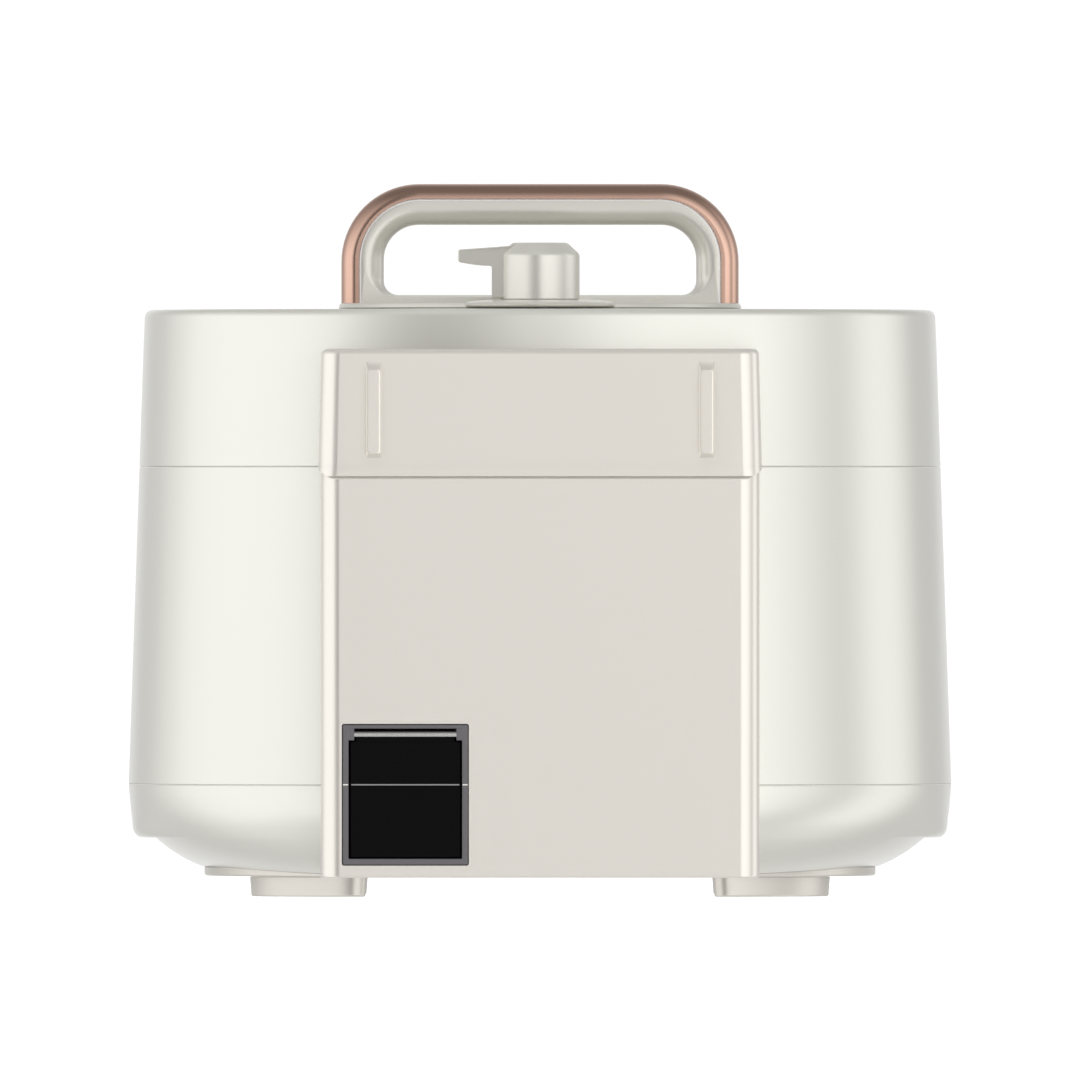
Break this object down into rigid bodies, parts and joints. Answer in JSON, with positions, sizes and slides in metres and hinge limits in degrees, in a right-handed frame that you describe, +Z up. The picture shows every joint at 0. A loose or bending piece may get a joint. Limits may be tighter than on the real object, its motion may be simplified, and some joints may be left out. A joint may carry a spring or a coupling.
{
  "type": "electric pressure cooker",
  "caption": "Oval electric pressure cooker with a hinged lid, turning arch handle, steam valve with thumb lever, rear hinge housing and flap-covered power inlet.",
  "frame": {"origin": "centre of the bounding box on the ground plane under the feet", "axes": "+Z up, front (control panel) faces -Y, rear (hinge and power inlet) faces +Y, +X is the inlet's side"},
  "size_m": [0.3656, 0.314, 0.3163],
  "materials": {
    "body_shell": "satin pearl cream",
    "rear_housing": "satin cream",
    "base_pan": "satin pearl cream",
    "bottom_cover": "matt",
    "foot_front_left": "satin cream",
    "foot_front_right": "satin cream",
    "foot_rear_left": "satin cream",
    "foot_rear_right": "satin cream",
    "hinge_shaft": "bright",
    "inlet_bezel": "satin",
    "inlet_socket": "matt",
    "inlet_flap": "gloss black",
    "flap_pin": "bright",
    "top_frame": "satin",
    "lock_ring": "satin",
    "inner_pot": "brushed",
    "heat_shield": "mill",
    "heating_plate": "cast and turned",
    "temperature_sensor": "satin",
    "sensor_spring": "bright",
    "power_board": "coated board",
    "control_board": "coated board",
    "control_panel": "satin cream",
    "display_window": "gloss black",
    "knob_ring": "copper colour",
    "control_knob": "satin cream",
    "button_1": "satin cream",
    "button_2": "satin cream",
    "button_3": "satin cream",
    "button_4": "satin cream",
    "lid_cover": "satin pearl cream",
    "lid_rear_cover": "satin cream",
    "lid_liner": "satin",
    "hinge_arm_left": "plated",
    "hinge_arm_right": "plated",
    "turn_disc": "satin cream",
    "retaining_ring": "matt",
    "hub": "cast",
    "pressure_lid": "brushed",
    "sealing_ring": "translucent white silicone",
    "vent_pipe": "bright",
    "anti_block_cap": "bright",
    "valve_dish": "satin cream",
    "valve_knob": "satin cream",
    "float_seal": "silicone",
    "float_pin": "bright",
    "handle_trim": "satin copper",
    "handle_grip": "satin cream"
  },
  "bodies": {
    "base": {"body_shell": "body_shell", "rear_housing": "rear_housing", "base_pan": "base_pan", "bottom_cover": "bottom_cover", "foot_front_left": "foot_front_left", "foot_front_right": "foot_front_right", "foot_rear_left": "foot_rear_left", "foot_rear_right": "foot_rear_right", "hinge_shaft": "hinge_shaft", "inlet_bezel": "inlet_bezel", "inlet_socket": "inlet_socket", "top_frame": "top_frame", "lock_ring": "lock_ring", "inner_pot": "inner_pot", "heat_shield": "heat_shield", "heating_plate": "heating_plate", "sensor_spring": "sensor_spring", "power_board": "power_board", "control_board": "control_board", "control_panel": "control_panel", "display_window": "display_window", "knob_ring": "knob_ring"},
    "lid": {"lid_cover": "lid_cover", "lid_rear_cover": "lid_rear_cover", "lid_liner": "lid_liner", "hinge_arm_left": "hinge_arm_left", "hinge_arm_right": "hinge_arm_right"},
    "turntable": {"turn_disc": "turn_disc", "retaining_ring": "retaining_ring", "hub": "hub", "pressure_lid": "pressure_lid", "sealing_ring": "sealing_ring", "vent_pipe": "vent_pipe", "anti_block_cap": "anti_block_cap", "valve_dish": "valve_dish", "float_seal": "float_seal", "handle_trim": "handle_trim", "handle_grip": "handle_grip"},
    "valve": {"valve_knob": "valve_knob"},
    "float": {"float_pin": "float_pin"},
    "flap": {"inlet_flap": "inlet_flap", "flap_pin": "flap_pin"},
    "sensor": {"temperature_sensor": "temperature_sensor"},
    "dial": {"control_knob": "control_knob"},
    "key_1": {"button_1": "button_1"},
    "key_2": {"button_2": "button_2"},
    "key_3": {"button_3": "button_3"},
    "key_4": {"button_4": "button_4"}
  },
  "joints": [
    {"name": "lid_hinge", "type": "hinge", "parent": "base", "child": "lid", "pos_m": [0, 0.1443, 0.1758], "axis": [-1, 0, 0], "range_deg": [0, 90]},
    {"name": "lid_lock", "type": "hinge", "parent": "lid", "child": "turntable", "pos_m": [0, -0.0025, 0.2608], "axis": [0, 0, 1], "range_deg": [0, 30]},
    {"name": "valve_turn", "type": "hinge", "parent": "turntable", "child": "valve", "pos_m": [0, 0.0715, 0.265], "axis": [0, 0, 1], "range_deg": [0, 75]},
    {"name": "float_rise", "type": "slide", "parent": "turntable", "child": "float", "axis": [0, 0, 1], "range_m": [0, 0.005]},
    {"name": "inlet_flap_hinge", "type": "hinge", "parent": "base", "child": "flap", "pos_m": [0.05945, 0.1522, 0.0723], "axis": [1, 0, 0], "range_deg": [0, 95]},
    {"name": "sensor_press", "type": "slide", "parent": "base", "child": "sensor", "axis": [0, 0, -1], "range_m": [0, 0.002], "stiffness_N_per_m": 800, "springref_m": -0.002, "deforming": ["sensor_spring"]},
    {"name": "dial_turn", "type": "hinge", "parent": "base", "child": "dial", "pos_m": [0, -0.157, 0.093], "axis": [0, -1, 0], "continuous": true},
    {"name": "key_1_press", "type": "slide", "parent": "base", "child": "key_1", "axis": [0, 1, 0], "range_m": [0, 0.001], "stiffness_N_per_m": 600, "springref_m": -0.001},
    {"name": "key_2_press", "type": "slide", "parent": "base", "child": "key_2", "axis": [0, 1, 0], "range_m": [0, 0.001], "stiffness_N_per_m": 600, "springref_m": -0.001},
    {"name": "key_3_press", "type": "slide", "parent": "base", "child": "key_3", "axis": [0, 1, 0], "range_m": [0, 0.001], "stiffness_N_per_m": 600, "springref_m": -0.001},
    {"name": "key_4_press", "type": "slide", "parent": "base", "child": "key_4", "axis": [0, 1, 0], "range_m": [0, 0.001], "stiffness_N_per_m": 600, "springref_m": -0.001}
  ]
}
